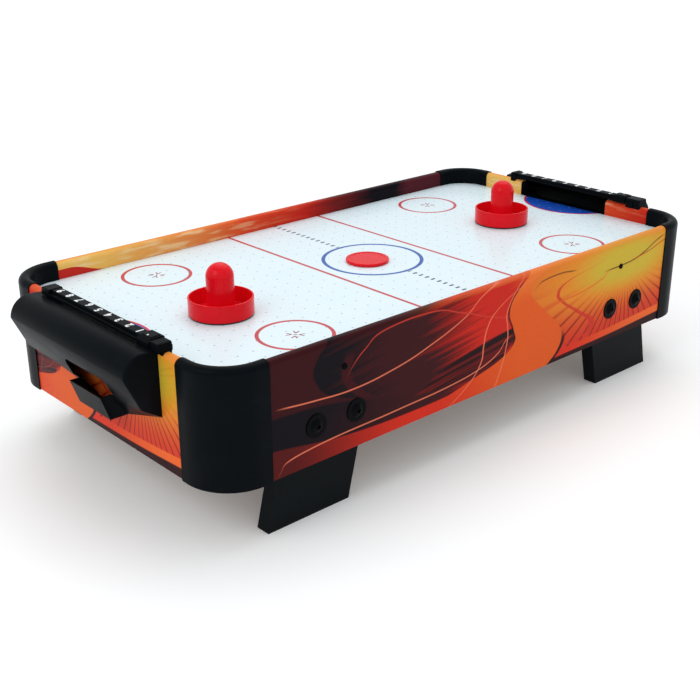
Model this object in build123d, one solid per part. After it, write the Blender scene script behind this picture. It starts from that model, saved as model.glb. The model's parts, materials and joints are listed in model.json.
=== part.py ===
from build123d import *
import math
import os

# ---------------------------------------------------------------- driving dimensions (mm)
TABLE_LENGTH = 1016.0          # over the end panels, along X
TABLE_WIDTH = 540.0            # over the side panels, along Y
PANEL_THICK = 16.0
PANEL_BOTTOM = 86.5
PANEL_TOP = 252.3
CORNER_RADIUS = 68.0           # outer radius of the rounded corners

FIELD_TOP = 225.0
FIELD_THICK = 6.0
FIELD_GAP = 0.2                # clearance between the field's edge and the panels
AIR_HOLE_RADIUS = 0.75
AIR_HOLE_PITCH = 25.4
AIR_HOLES_LONG = 37
AIR_HOLES_WIDE = 19

RAIL_SIZE = 18.0               # square section of the rails under the field
CROSS_RAIL_X = 165.1
BOARD_THICK = 3.0              # bottom board of the air chamber

CAP_SKIN = 1.8
CAP_LEG = 13.3                 # how far a corner cap runs along the straight panels
CAP_BOTTOM = 85.5

LEG_THICK = 23.0
LEG_FOOT_INNER = 283.3
LEG_FOOT_OUTER = 425.5
LEG_LEAN = 0.24                # sideways run for each millimetre of height
LEG_TOP = 190.0
BOLT_X = (282.8, 353.2)
BOLT_Z = 141.0
BOLT_RADIUS = 4.0
BOLT_HEAD_RADIUS = 10.5
BOLT_HEAD_HEIGHT = 4.7
WASHER_RADIUS = 17.0
WASHER_THICK = 1.8
PANEL_SCREW_X = 303.0

MOUTH_HALF = 99.0              # half the width of the goal mouth's cut-out
MOUTH_SILL = 222.3             # bottom of the cut-out
HOOD_HALF = 150.0
HOOD_WALL = 2.5
HOOD_GAP = 0.3                 # between the hood and the end panel
HOOD_BACK_TOP = 252.8          # top face at the end panel
HOOD_CROWN = (524.0, 254.8)    # (x, z) where the top face turns into the rounded front
HOOD_BEND = (549.8, 247.2)     # middle of the rounded front
HOOD_BELLY = (559.6, 226.5)    # where the rounded front turns into the leaning face
HOOD_TOE_ENDS = (538.0, 180.0)  # lower edge of the leaning face at the hood's ends
HOOD_HEEL_ENDS = 161.0         # floor at the end panel, at the hood's ends
HOOD_TOE_LOW = (534.4, 172.0)  # lower edge of the leaning face at the tray
HOOD_HEEL_LOW = 136.0          # floor at the end panel, at the tray
TRAY_Y = (-14.0, 66.0)         # catch tray, on the hood at +X
TRAY_FOOT = (536.0, 136.0)     # (x, z) of the tray's lower outer edge
TRAY_LIP = (548.0, 171.0)      # (x, z) of the tray's lip
RETURN_Y = (-28.0, 80.0)       # puck-return opening, on the hood at +X
RETURN_TOP = 201.0
HOOD_SCREW_Y = 143.5
HOOD_SCREW_Z = (175.0, 193.0)

SCORE_BASE_X = (492.0, 514.0)  # base plate of a score rail
SCORE_BASE_Z = (256.3, 259.8)
SCORE_RIB_X = (494.0, 509.2)   # numbered rib on the base plate
SCORE_RIB_TOP = 264.6
SCORE_ENDS_LEFT = (-160.0, 137.0)    # along Y, the rail at -X
SCORE_ENDS_RIGHT = (-171.0, 127.0)   # along Y, the rail at +X
SCORE_BLOCK_Y = (-141.5, 115.5)      # inner faces of the end blocks
SCORE_BLOCK_Z = (254.6, 265.4)
SCORE_PEG_Y = (-151.0, 121.5)
SCORE_PEG_X = 500.0
SCORE_PEG_RADIUS = 2.5
SCORE_PITCH = 25.5
SCORE_ZERO_Y = -5 * SCORE_PITCH
SLIDER_LENGTH = 26.0
SLIDER_GAP = 0.3
SLIDER_WALL = 1.6

PUSHER_RADIUS = 47.1
PUSHER_RIM = 26.9
PUSHER_HEIGHT = 75.8
KNOB_RADIUS = 20.1
PUSHER_WALL = 2.6
PUSHER_LEFT = (-329.0, -36.9)
PUSHER_RIGHT = (317.4, -0.4)
PUCK_AT = (-13.2, -2.2)
PUCK_RADIUS = 35.0
PUCK_THICK = 5.0
FLOAT_GAP = 0.3                # air gap under the pushers and the puck

FAN_SIZE = 120.0
FAN_BORE = 55.0
AIR_PORT_RADIUS = 50.0         # the fan's air hole in the bottom board
FAN_DEPTH = 38.0
FAN_HOLE = 52.5                # half the pitch of the fan's mounting holes
FAN_HUB = 24.0
FAN_PLATE = 4.0                # thickness of the motor plate and its struts
FAN_BLADES = 7
GUARD_RINGS = (14.0, 28.0, 42.0, 54.0)
GUARD_SPOKE_RADIUS = 1.2
GUARD_RING_RADIUS = 1.0
GUARD_EYE = (5.0, 2.0)         # radius and thickness of a screw eye
GUARD_GAP = 0.2                # between the eyes and the fan frame

SWITCH_AT = (150.0, 160.0)     # X and Z on the far side panel
SWITCH_HALF = (7.0, 10.5)      # half the switch body's width and height
ROCKER_DEPTH = 3.0             # of the rocker's pivot behind the panel's face
ROCKER_TIP = 11.0              # degrees each way from level
INLET_AT = (190.0, 160.0)
LEAD_RADIUS = 2.5

# ---------------------------------------------------------------- derived dimensions
HALF_LENGTH = TABLE_LENGTH / 2
HALF_WIDTH = TABLE_WIDTH / 2
CORNER_X = HALF_LENGTH - CORNER_RADIUS       # centre of a rounded corner
CORNER_Y = HALF_WIDTH - CORNER_RADIUS
CORNER_INNER = CORNER_RADIUS - PANEL_THICK
INNER_X = HALF_LENGTH - PANEL_THICK
INNER_Y = HALF_WIDTH - PANEL_THICK
FIELD_BOTTOM = FIELD_TOP - FIELD_THICK
RAIL_BOTTOM = FIELD_BOTTOM - RAIL_SIZE
PANEL_SCREW_Z = FIELD_BOTTOM - RAIL_SIZE / 2
BOARD_BOTTOM = RAIL_BOTTOM - BOARD_THICK
FAN_BOTTOM = BOARD_BOTTOM - FAN_DEPTH
HOOD_X = HALF_LENGTH + HOOD_GAP
ROCKER_PIVOT_Y = HALF_WIDTH - ROCKER_DEPTH


# ---------------------------------------------------------------- helpers
def box_between(low, high):
    """Box from its lowest corner to its highest corner."""
    size = [h - l for l, h in zip(low, high)]
    return Pos(*low) * Box(*size, align=(Align.MIN, Align.MIN, Align.MIN))


def rod_y(radius, x, z, y_low, y_high):
    """Cylinder along Y."""
    middle = (y_low + y_high) / 2
    return Pos(x, middle, z) * Rot(90, 0, 0) * Cylinder(radius, y_high - y_low)


def rod_x(radius, y, z, x_low, x_high):
    """Cylinder along X."""
    middle = (x_low + x_high) / 2
    return Pos(middle, y, z) * Rot(0, 90, 0) * Cylinder(radius, x_high - x_low)


def rod_z(radius, x, y, z_low, z_high):
    """Cylinder along Z."""
    return Pos(x, y, (z_low + z_high) / 2) * Cylinder(radius, z_high - z_low)


def outline(points):
    """Flat face in the XZ plane from its corner points."""
    corners = [(x, 0, z) for x, z in points]
    return make_face(Polyline(*corners, close=True))


def prism_y(points, y_low, y_high):
    """Solid with an XZ outline, from y_low to y_high."""
    return extrude(Pos(0, y_low, 0) * outline(points), y_high - y_low, dir=(0, 1, 0))


def wall_section(inner, outer, bottom, top):
    """Upright section of a board with a fully rounded top edge, measured outwards along X."""
    radius = (outer - inner) / 2
    middle = (outer + inner) / 2
    shoulder = top - radius
    crown = ThreePointArc((inner, 0, shoulder), (middle, 0, top), (outer, 0, shoulder))
    sides = Polyline((outer, 0, shoulder), (outer, 0, bottom), (inner, 0, bottom), (inner, 0, shoulder))
    return make_face(crown + sides)


def corner_wall(section, leg):
    """Quarter turn of a wall section with a straight leg at each end, at the +X +Y corner."""
    turn = revolve(section, Axis.Z, 90)
    end_leg = extrude(section, leg, dir=(0, -1, 0))
    side_leg = extrude(Rot(0, 0, 90) * section, leg, dir=(-1, 0, 0))
    return Pos(CORNER_X, CORNER_Y, 0) * (turn + end_leg + side_leg)


def rounded_board(half_x, half_y, radius, bottom, top):
    """Flat board with rounded corners."""
    sketch = RectangleRounded(2 * half_x, 2 * half_y, radius)
    return Pos(0, 0, bottom) * extrude(sketch, top - bottom)


def four_corners(shape):
    """The +X +Y shape and its three mirror images, by corner name."""
    left = mirror(shape, about=Plane.YZ)
    return {
        "far_right": shape,
        "far_left": left,
        "near_right": mirror(shape, about=Plane.XZ),
        "near_left": mirror(left, about=Plane.XZ),
    }


def half_turn(shape):
    """The same shape at the other end of the table."""
    return Rot(0, 0, 180) * shape


# ---------------------------------------------------------------- cabinet
def plain_side_panel():
    """Far side panel with its bolt and screw holes."""
    section = Rot(0, 0, 90) * wall_section(INNER_Y, HALF_WIDTH, PANEL_BOTTOM, PANEL_TOP)
    panel = Pos(CORNER_X, 0, 0) * extrude(section, 2 * CORNER_X, dir=(-1, 0, 0))
    for side in (-1, 1):
        for x in BOLT_X:
            panel -= rod_y(BOLT_RADIUS + 0.2, side * x, BOLT_Z, INNER_Y - 1, HALF_WIDTH + 1)
        panel -= rod_y(2.1, side * PANEL_SCREW_X, PANEL_SCREW_Z, INNER_Y - 1, HALF_WIDTH + 1)
    return panel


def far_side_panel():
    """Far side panel, which also holds the power switch and inlet."""
    panel = plain_side_panel()
    x, z = SWITCH_AT
    panel -= box_between((x - 7.2, INNER_Y - 1, z - 10.7), (x + 7.2, HALF_WIDTH + 1, z + 10.7))
    panel -= rod_y(6.2, INLET_AT[0], INLET_AT[1], INNER_Y - 1, HALF_WIDTH + 1)
    return panel


def end_panel():
    """End panel at +X with the goal mouth, peg holes and hood screw holes."""
    section = wall_section(INNER_X, HALF_LENGTH, PANEL_BOTTOM, PANEL_TOP)
    panel = Pos(0, -CORNER_Y, 0) * extrude(section, 2 * CORNER_Y, dir=(0, 1, 0))
    panel -= box_between(
        (INNER_X - 1, -MOUTH_HALF, MOUTH_SILL), (HALF_LENGTH + 1, MOUTH_HALF, PANEL_TOP + 1)
    )
    for y, z in hood_screw_places():
        panel -= rod_x(2.0, y, z, INNER_X - 1, HALF_LENGTH + 1)
    return panel


def score_peg_holes():
    """Holes in the top edge of the +X end panel for the score rail's pegs."""
    holes = [rod_z(SCORE_PEG_RADIUS + 0.1, SCORE_PEG_X, y, 236, PANEL_TOP + 1) for y in SCORE_PEG_Y]
    return holes[0] + holes[1]


def corner_cap():
    """Moulded cap over the +X +Y corner: outside skin, rounded top and inside skin down to the field."""
    shell = corner_wall(
        wall_section(CORNER_INNER - CAP_SKIN, CORNER_RADIUS + CAP_SKIN, CAP_BOTTOM, PANEL_TOP + CAP_SKIN),
        CAP_LEG,
    )
    core = corner_wall(wall_section(CORNER_INNER, CORNER_RADIUS, CAP_BOTTOM - 1, PANEL_TOP), CAP_LEG + 1)
    middle = (CORNER_INNER + CORNER_RADIUS) / 2
    below_field = corner_wall(
        outline([
            (CORNER_INNER - CAP_SKIN - 2, CAP_BOTTOM - 1),
            (middle, CAP_BOTTOM - 1),
            (middle, FIELD_TOP + 0.2),
            (CORNER_INNER - CAP_SKIN - 2, FIELD_TOP + 0.2),
        ]),
        CAP_LEG + 1,
    )
    return shell - core - below_field


def corner_block():
    """Curved wooden post in the +X +Y corner, with a ledge under the field."""
    post_top = PANEL_TOP - 10.3
    post = outline([
        (CORNER_INNER, PANEL_BOTTOM), (CORNER_RADIUS, PANEL_BOTTOM),
        (CORNER_RADIUS, post_top), (CORNER_INNER, post_top),
    ])
    ledge = outline([
        (CORNER_INNER - RAIL_SIZE, RAIL_BOTTOM), (CORNER_INNER + 1, RAIL_BOTTOM),
        (CORNER_INNER + 1, FIELD_BOTTOM), (CORNER_INNER - RAIL_SIZE, FIELD_BOTTOM),
    ])
    return Pos(CORNER_X, CORNER_Y, 0) * (revolve(post, Axis.Z, 90) + revolve(ledge, Axis.Z, 90))


# ---------------------------------------------------------------- field and air chamber
def playfield():
    """White field board with its grid of air holes."""
    board = RectangleRounded(
        2 * (INNER_X - FIELD_GAP), 2 * (INNER_Y - FIELD_GAP), CORNER_INNER - FIELD_GAP
    )
    grid = GridLocations(AIR_HOLE_PITCH, AIR_HOLE_PITCH, AIR_HOLES_LONG, AIR_HOLES_WIDE)
    return Pos(0, 0, FIELD_BOTTOM) * extrude(board - grid * Circle(AIR_HOLE_RADIUS), FIELD_THICK)


def side_rail():
    """Rail under the field along the far side panel."""
    rail = box_between((-CORNER_X, INNER_Y - RAIL_SIZE, RAIL_BOTTOM), (CORNER_X, INNER_Y, FIELD_BOTTOM))
    for side in (-1, 1):
        rail -= rod_y(1.5, side * PANEL_SCREW_X, PANEL_SCREW_Z, INNER_Y - 12, INNER_Y + 1)
    return rail


def end_rail():
    """Rail under the field along the +X end panel."""
    return box_between((INNER_X - RAIL_SIZE, -CORNER_Y, RAIL_BOTTOM), (INNER_X, CORNER_Y, FIELD_BOTTOM))


def cross_rail():
    """Rail under the field between the side rails."""
    reach = INNER_Y - RAIL_SIZE
    left = CROSS_RAIL_X - RAIL_SIZE / 2
    return box_between((left, -reach, RAIL_BOTTOM), (left + RAIL_SIZE, reach, FIELD_BOTTOM))


def board_screw_places():
    """Places of the bottom board's screws, as (x, y)."""
    along = [(x, side * (INNER_Y - 9)) for x in (-400, -200, 0, 200, 400) for side in (-1, 1)]
    across = [(side * (INNER_X - 9), y) for side in (-1, 1) for y in (-120, 0, 120)]
    return along + across


def bottom_board():
    """Bottom board of the air chamber with the fan's air hole, fan bolt holes and screw holes."""
    board = rounded_board(INNER_X - 0.5, INNER_Y - 0.5, CORNER_INNER - 0.5, BOARD_BOTTOM, RAIL_BOTTOM)
    board -= rod_z(AIR_PORT_RADIUS, 0, 0, BOARD_BOTTOM - 1, RAIL_BOTTOM + 1)
    for x, y in fan_hole_places():
        board -= rod_z(2.2, x, y, BOARD_BOTTOM - 1, RAIL_BOTTOM + 1)
    for x, y in board_screw_places():
        board -= rod_z(1.9, x, y, BOARD_BOTTOM - 1, RAIL_BOTTOM + 1)
    return board


def wood_screw(length, radius, head_radius, head_height):
    """Pan-head screw along Z with its head on top at z = 0 and a cross slot."""
    shank = rod_z(radius, 0, 0, -length, 0)
    head = rod_z(head_radius, 0, 0, 0, head_height)
    head = fillet(head.edges().group_by(Axis.Z)[-1], head_height * 0.6)
    long, short = head_radius * 1.1, head_radius * 0.25
    slot = Box(long, short, head_height) + Box(short, long, head_height)
    return shank + head - Pos(0, 0, head_height) * slot


def board_screws():
    """Screws that hold the bottom board to the rails, driven from below."""
    screw = Rot(180, 0, 0) * wood_screw(14, 1.75, 3.6, 2.0)
    return [Pos(x, y, BOARD_BOTTOM) * screw for x, y in board_screw_places()]


def drilled_for_board(rail):
    """A rail with pilot holes for the bottom board's screws."""
    for x, y in board_screw_places():
        rail -= rod_z(1.75, x, y, RAIL_BOTTOM - 1, RAIL_BOTTOM + 11.5)
    return rail


# ---------------------------------------------------------------- legs
def leg():
    """Leaning leg board at the +X +Y corner, bolted flat against the side panel."""
    lean = LEG_LEAN * LEG_TOP
    board = prism_y(
        [
            (LEG_FOOT_INNER, 0), (LEG_FOOT_OUTER, 0),
            (LEG_FOOT_OUTER - lean, LEG_TOP), (LEG_FOOT_INNER - lean, LEG_TOP),
        ],
        INNER_Y - LEG_THICK, INNER_Y,
    )
    board = chamfer(board.edges().filter_by(Axis.Y), 0.8)
    for x in BOLT_X:
        board -= rod_y(BOLT_RADIUS + 0.2, x, BOLT_Z, INNER_Y - LEG_THICK - 1, INNER_Y + 1)
    return board


def bolt_places():
    """Each leg bolt's x and side of the table."""
    return [(end * x, side) for end in (-1, 1) for x in BOLT_X for side in (-1, 1)]


def on_side(shape, x, side):
    """Put a shape made for the far side at x, mirrored for the near side."""
    if side < 0:
        shape = mirror(shape, about=Plane.XZ)
    return Pos(x, 0, BOLT_Z) * shape


def leg_bolt():
    """Bolt along Y with a domed head outside the washer and a hexagon socket."""
    seat = HALF_WIDTH + WASHER_THICK
    cap_radius = (BOLT_HEAD_RADIUS ** 2 + BOLT_HEAD_HEIGHT ** 2) / (2 * BOLT_HEAD_HEIGHT)
    ball = Pos(0, seat + BOLT_HEAD_HEIGHT - cap_radius, 0) * Sphere(cap_radius)
    head = ball & box_between((-20, seat, -20), (20, seat + 20, 20))
    shank = rod_y(BOLT_RADIUS, 0, 0, INNER_Y - LEG_THICK - 10, seat + 1)
    socket = Pos(0, seat + 2, 0) * Rot(-90, 0, 0) * extrude(RegularPolygon(3.3, 6), 10)
    return head + shank - socket


def leg_washer():
    """Broad washer under a bolt head."""
    ring = rod_y(WASHER_RADIUS, 0, 0, HALF_WIDTH, HALF_WIDTH + WASHER_THICK)
    ring = chamfer(ring.edges().group_by(Axis.Y)[-1], 0.6)
    return ring - rod_y(BOLT_RADIUS + 0.1, 0, 0, HALF_WIDTH - 1, HALF_WIDTH + 5)


def leg_nut():
    """Hexagon nut on the inside of a leg."""
    face = INNER_Y - LEG_THICK
    nut = Pos(0, face, 0) * Rot(90, 0, 0) * extrude(RegularPolygon(7.5, 6), 6.5)
    return nut - rod_y(BOLT_RADIUS, 0, 0, face - 8, face + 1)


def panel_screws():
    """Small screws through the side panels into the rails."""
    screw = Pos(0, HALF_WIDTH, 0) * Rot(-90, 0, 0) * wood_screw(26, 1.5, 4.4, 2.0)
    height = PANEL_SCREW_Z - BOLT_Z
    places = [(end * PANEL_SCREW_X, side) for end in (-1, 1) for side in (-1, 1)]
    return [Pos(0, 0, height) * on_side(screw, x, side) for x, side in places]


# ---------------------------------------------------------------- goal hoods
def line_meet(first, second):
    """Point where the line x = a + b z meets the line z = c + d x."""
    (a, b), (c, d) = first, second
    x = (a + b * c) / (1 - b * d)
    return x, c + d * x


def hood_section(toe, heel_z, wall):
    """Section of the hood set in by wall: rounded outside, leaning face, floor falling to the panel."""
    belly_x, belly_z = HOOD_BELLY
    lean = (belly_x - toe[0]) / (belly_z - toe[1])
    fall = (toe[1] - heel_z) / (toe[0] - HOOD_X)
    inset_x = wall * math.hypot(1, lean)
    inset_z = wall * math.hypot(1, fall)
    back = HOOD_X - (3.0 if wall else 0.0)
    front_line = (belly_x - inset_x - lean * belly_z, lean)
    floor_line = (heel_z + inset_z - fall * HOOD_X, fall)
    inner_toe = line_meet(front_line, floor_line)
    heel = (back, floor_line[0] + fall * back)
    belly = (belly_x - wall, belly_z)
    bend = (HOOD_BEND[0] - 0.75 * wall, HOOD_BEND[1] - 0.7 * wall)
    crown = (HOOD_CROWN[0], HOOD_CROWN[1] - wall)
    back_top = (back, HOOD_BACK_TOP - wall)
    front = ThreePointArc(*[(x, 0, z) for x, z in (crown, bend, belly)])
    rest = Polyline(*[(x, 0, z) for x, z in (belly, inner_toe, heel, back_top, crown)])
    return make_face(front + rest)


def hood_body(wall):
    """Hood filled solid, set in by wall on every side: its floor falls from both ends to the tray."""
    ends = hood_section(HOOD_TOE_ENDS, HOOD_HEEL_ENDS, wall)
    low = hood_section(HOOD_TOE_LOW, HOOD_HEEL_LOW, wall)
    stations = [
        (-HOOD_HALF + wall, ends), (TRAY_Y[0] + wall, low),
        (TRAY_Y[1] - wall, low), (HOOD_HALF - wall, ends),
    ]
    body = None
    for (y_a, face_a), (y_b, face_b) in zip(stations, stations[1:]):
        span = loft([Pos(0, y_a, 0) * face_a, Pos(0, y_b, 0) * face_b], ruled=True)
        body = span if body is None else body + span
    return body


def hood_screw_places():
    """Places of one hood's screws, as (y, z)."""
    return [(side * HOOD_SCREW_Y, z) for side in (-1, 1) for z in HOOD_SCREW_Z]


def catch_tray():
    """Tray under the return opening, filled solid, and the hollow in it."""
    foot_x, foot_z = TRAY_FOOT
    lip_x, lip_z = TRAY_LIP
    wall = HOOD_WALL
    solid = prism_y([(HOOD_X, foot_z), (foot_x, foot_z), (lip_x, lip_z), (lip_x - 18, lip_z)], *TRAY_Y)
    back = HOOD_X - 3
    hollow = prism_y(
        [
            (back, foot_z + wall), (foot_x - 1.8, foot_z + wall),
            (lip_x - 2.2, lip_z + 1), (back, lip_z + 1),
        ],
        TRAY_Y[0] + wall, TRAY_Y[1] - wall,
    )
    return solid, hollow


def mouth_frame():
    """Web behind the end panel with the sleeve that lines the goal mouth, and the way through them."""
    wall = HOOD_WALL
    half = MOUTH_HALF - 0.2
    way = half - 2.0
    web = box_between((HOOD_X, -HOOD_HALF + 1, 212), (HOOD_X + wall, HOOD_HALF - 1, PANEL_TOP - 0.3))
    sleeve = box_between((INNER_X + 0.2, -half, MOUTH_SILL + 0.2), (HOOD_X + wall, half, 250.5))
    clear = box_between((INNER_X - 5, -way, FIELD_TOP - 0.3), (HOOD_X + 10, way, 251))
    above = box_between((INNER_X - 5, -way, 250), (HOOD_X + wall + 1, way, PANEL_TOP + 0.6))
    return web + sleeve, clear + (above & web)


def goal_hood():
    """Goal hood at +X: shell, catch tray, return opening, lined goal mouth and screw bosses."""
    tray, tray_hollow = catch_tray()
    hood = hood_body(0.0) + tray - hood_body(HOOD_WALL) - tray_hollow
    opening = box_between((526, RETURN_Y[0], TRAY_LIP[1] + 0.5), (570, RETURN_Y[1], RETURN_TOP))
    hood -= fillet(opening.edges().filter_by(Axis.X).group_by(Axis.Z)[-1], 14)
    frame, way = mouth_frame()
    hood = hood + frame - way
    inside = box_between((HOOD_X, -HOOD_HALF + 1, 150), (570, HOOD_HALF - 1, 260))
    for y, z in hood_screw_places():
        hood += rod_x(5.0, y, z, HOOD_X, HOOD_X + 14) & inside
        hood -= rod_x(1.5, y, z, HOOD_X - 1, HOOD_X + 11)
    return hood


def hood_screws():
    """Screws from inside the cabinet into the hoods' bosses."""
    screw = Pos(INNER_X, 0, 0) * Rot(0, -90, 0) * wood_screw(26, 1.5, 4.0, 2.0)
    right = [Pos(0, y, z) * screw for y, z in hood_screw_places()]
    return right + [half_turn(one) for one in right]


# ---------------------------------------------------------------- scoring
def score_rail(y_low, y_high):
    """Score rail at +X over the goal mouth: base plate, numbered rib, end blocks, pegs and a lug."""
    base_low, base_high = SCORE_BASE_X
    bottom, shoulder = SCORE_BASE_Z
    rib = box_between((SCORE_RIB_X[0], y_low, bottom), (SCORE_RIB_X[1], y_high, SCORE_RIB_TOP))
    rail = chamfer(rib.edges().filter_by(Axis.Y).group_by(Axis.Z)[-1], 0.8)
    rail += box_between((base_low, y_low, bottom), (base_high, y_high, shoulder))
    for y_a, y_b, outer in ((y_low, SCORE_BLOCK_Y[0], 0), (SCORE_BLOCK_Y[1], y_high, -1)):
        block = box_between((base_low, y_a, SCORE_BLOCK_Z[0]), (base_high, y_b, SCORE_BLOCK_Z[1]))
        block = fillet(block.edges().filter_by(Axis.X).group_by(Axis.Z)[-1].sort_by(Axis.Y)[outer], 3.0)
        rail += chamfer(block.edges().filter_by(Axis.Y).group_by(Axis.Z)[-1], 1.0)
        rail += box_between((base_low + 1, y_a, 248), (HALF_LENGTH - 1, y_b, bottom))
    rail -= extrude(wall_section(INNER_X, HALF_LENGTH, 200, PANEL_TOP), 250, both=True)
    lug = box_between((base_low - 1.5, -158, 249.6), (base_low + 1.5, -143, shoulder))
    rail += fillet(lug.edges().filter_by(Axis.X).group_by(Axis.Z)[0], 5)
    for y in SCORE_PEG_Y:
        rail += rod_z(SCORE_PEG_RADIUS, SCORE_PEG_X, y, 238, bottom)
    return rail


def score_slider():
    """Slider round the +X score rail at zero: sloping outer face, low grip on top, open under the rail."""
    y_low = SCORE_ZERO_Y - SLIDER_LENGTH / 2
    y_high = SCORE_ZERO_Y + SLIDER_LENGTH / 2
    inner = SCORE_BASE_X[0] - SLIDER_GAP
    outer = SCORE_BASE_X[1] + SLIDER_GAP
    floor = SCORE_BASE_Z[0] - SLIDER_GAP
    bottom = floor - 1.4
    top = SCORE_RIB_TOP + 2.1
    rib_low, rib_high = SCORE_RIB_X
    body = prism_y([
        (inner - SLIDER_WALL, bottom), (inner - SLIDER_WALL, top - 1.5), (inner, top),
        (rib_high + 1.4, top), (outer + SLIDER_WALL, top - 5), (outer + SLIDER_WALL, bottom),
    ], y_low, y_high)
    grip = box_between((rib_low, SCORE_ZERO_Y - 10, top - 1), (rib_high, SCORE_ZERO_Y + 10, top + 1))
    body += fillet(grip.edges().group_by(Axis.Z)[-1], 0.8)
    base_way = box_between((inner, y_low - 1, floor), (outer, y_high + 1, SCORE_BASE_Z[1] + SLIDER_GAP))
    rib_way = box_between(
        (rib_low - SLIDER_GAP, y_low - 1, floor),
        (rib_high + SLIDER_GAP, y_high + 1, SCORE_RIB_TOP + SLIDER_GAP),
    )
    slot = box_between((inner + 2.3, y_low - 1, bottom - 1), (outer - 2.3, y_high + 1, floor + 1))
    return body - base_way - rib_way - slot


# ---------------------------------------------------------------- pushers and puck
def turned(points, x, y):
    """Solid of revolution about an upright line, from (radius, height above the field) points."""
    profile = outline([(r, FIELD_TOP + FLOAT_GAP + z) for r, z in points])
    return Pos(x, y, 0) * revolve(profile, Axis.Z, 360)


def pusher_shell(x, y):
    """Moulded pusher: rim, bowl floor and a hollow domed knob."""
    wall = PUSHER_WALL
    base = FIELD_TOP + FLOAT_GAP
    solid = turned(
        [(0, 2), (PUSHER_RADIUS, 2), (PUSHER_RADIUS, PUSHER_RIM), (PUSHER_RADIUS - wall, PUSHER_RIM),
         (PUSHER_RADIUS - wall - 2, 5), (0, 5)], x, y)
    rim_edges = solid.edges().filter_by(GeomType.CIRCLE).group_by(Axis.Z)[-1]
    solid = fillet(rim_edges, 0.9)
    dome = PUSHER_HEIGHT - KNOB_RADIUS
    knob = rod_z(KNOB_RADIUS, x, y, base + 3, base + dome) + Pos(x, y, base + dome) * Sphere(KNOB_RADIUS)
    solid += knob
    root = solid.edges().filter_by(GeomType.CIRCLE)
    root = [e for e in root if abs(e.radius - KNOB_RADIUS) < 0.01 and abs(e.center().Z - base - 5) < 0.1]
    solid = fillet(root, 5)
    inside = KNOB_RADIUS - wall
    hollow = rod_z(inside, x, y, base, base + dome) + Pos(x, y, base + dome) * Sphere(inside)
    return solid - hollow


def pusher_felt(x, y):
    """Felt ring glued under a pusher."""
    inner, outer = KNOB_RADIUS + 2, PUSHER_RADIUS - 0.4
    return turned([(inner, 0), (outer, 0), (outer, 2), (inner, 2)], x, y)


def puck():
    """Flat puck with rounded edges and a shallow recess in each face."""
    disc = turned([(0, 0), (PUCK_RADIUS, 0), (PUCK_RADIUS, PUCK_THICK), (0, PUCK_THICK)], *PUCK_AT)
    disc = fillet(disc.edges().filter_by(GeomType.CIRCLE), 1.4)
    x, y = PUCK_AT
    base = FIELD_TOP + FLOAT_GAP
    disc -= rod_z(PUCK_RADIUS - 6, x, y, base + PUCK_THICK - 0.5, base + PUCK_THICK + 1)
    return disc - rod_z(PUCK_RADIUS - 6, x, y, base - 1, base + 0.5)


# ---------------------------------------------------------------- fan
def fan_hole_places():
    """Places of the fan's four screws, as (x, y)."""
    return [(i * FAN_HOLE, j * FAN_HOLE) for i in (-1, 1) for j in (-1, 1)]


def fan_frame():
    """Square fan frame with a round duct, and a plate on four struts that holds the motor."""
    frame = rounded_board(FAN_SIZE / 2, FAN_SIZE / 2, 7, FAN_BOTTOM, BOARD_BOTTOM)
    frame -= rod_z(FAN_BORE, 0, 0, FAN_BOTTOM - 1, BOARD_BOTTOM + 1)
    plate_top = FAN_BOTTOM + FAN_PLATE
    strut = box_between((FAN_HUB - 4, -2.5, FAN_BOTTOM), (FAN_BORE + 1, 2.5, plate_top))
    for angle in (0, 90, 180, 270):
        frame += Rot(0, 0, angle) * strut
    frame += rod_z(FAN_HUB, 0, 0, FAN_BOTTOM, plate_top)
    frame -= rod_z(2.6, 0, 0, FAN_BOTTOM - 1, plate_top + 1)
    for x, y in fan_hole_places():
        frame -= rod_z(2.2, x, y, FAN_BOTTOM - 1, BOARD_BOTTOM + 1)
    return frame


def fan_motor():
    """Motor can on the frame's plate, bored for the shaft."""
    can = rod_z(19, 0, 0, FAN_BOTTOM + FAN_PLATE, FAN_BOTTOM + 17)
    can = fillet(can.edges().group_by(Axis.Z)[-1], 2)
    return can - rod_z(2.05, 0, 0, FAN_BOTTOM, FAN_BOTTOM + 20)


def fan_rotor():
    """Hub cup with seven pitched blades."""
    low, high = FAN_BOTTOM + 7, FAN_BOTTOM + 33
    hub = fillet(rod_z(FAN_HUB, 0, 0, low, high).edges().group_by(Axis.Z)[-1], 3)
    hub -= rod_z(FAN_HUB - 2, 0, 0, low - 1, high - 5)
    reach = FAN_BORE - 1.5
    blade = Rot(38, 0, 0) * Box(reach - FAN_HUB + 3, 30, 2)
    blade = Pos((FAN_HUB + reach) / 2 - 0.5, 0, (low + high) / 2) * blade
    blades = [Rot(0, 0, i * 360 / FAN_BLADES) * blade for i in range(FAN_BLADES)]
    ring = rod_z(reach, 0, 0, low + 1, high - 2) - rod_z(FAN_HUB - 1, 0, 0, low, high)
    rotor = hub
    for blade in blades:
        rotor += blade & ring
    return rotor - rod_z(2.0, 0, 0, low, high + 1)


def fan_shaft():
    """Steel shaft from the motor's bearing into the rotor's hub."""
    return rod_z(2.0, 0, 0, FAN_BOTTOM + 5, FAN_BOTTOM + 33)


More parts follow.
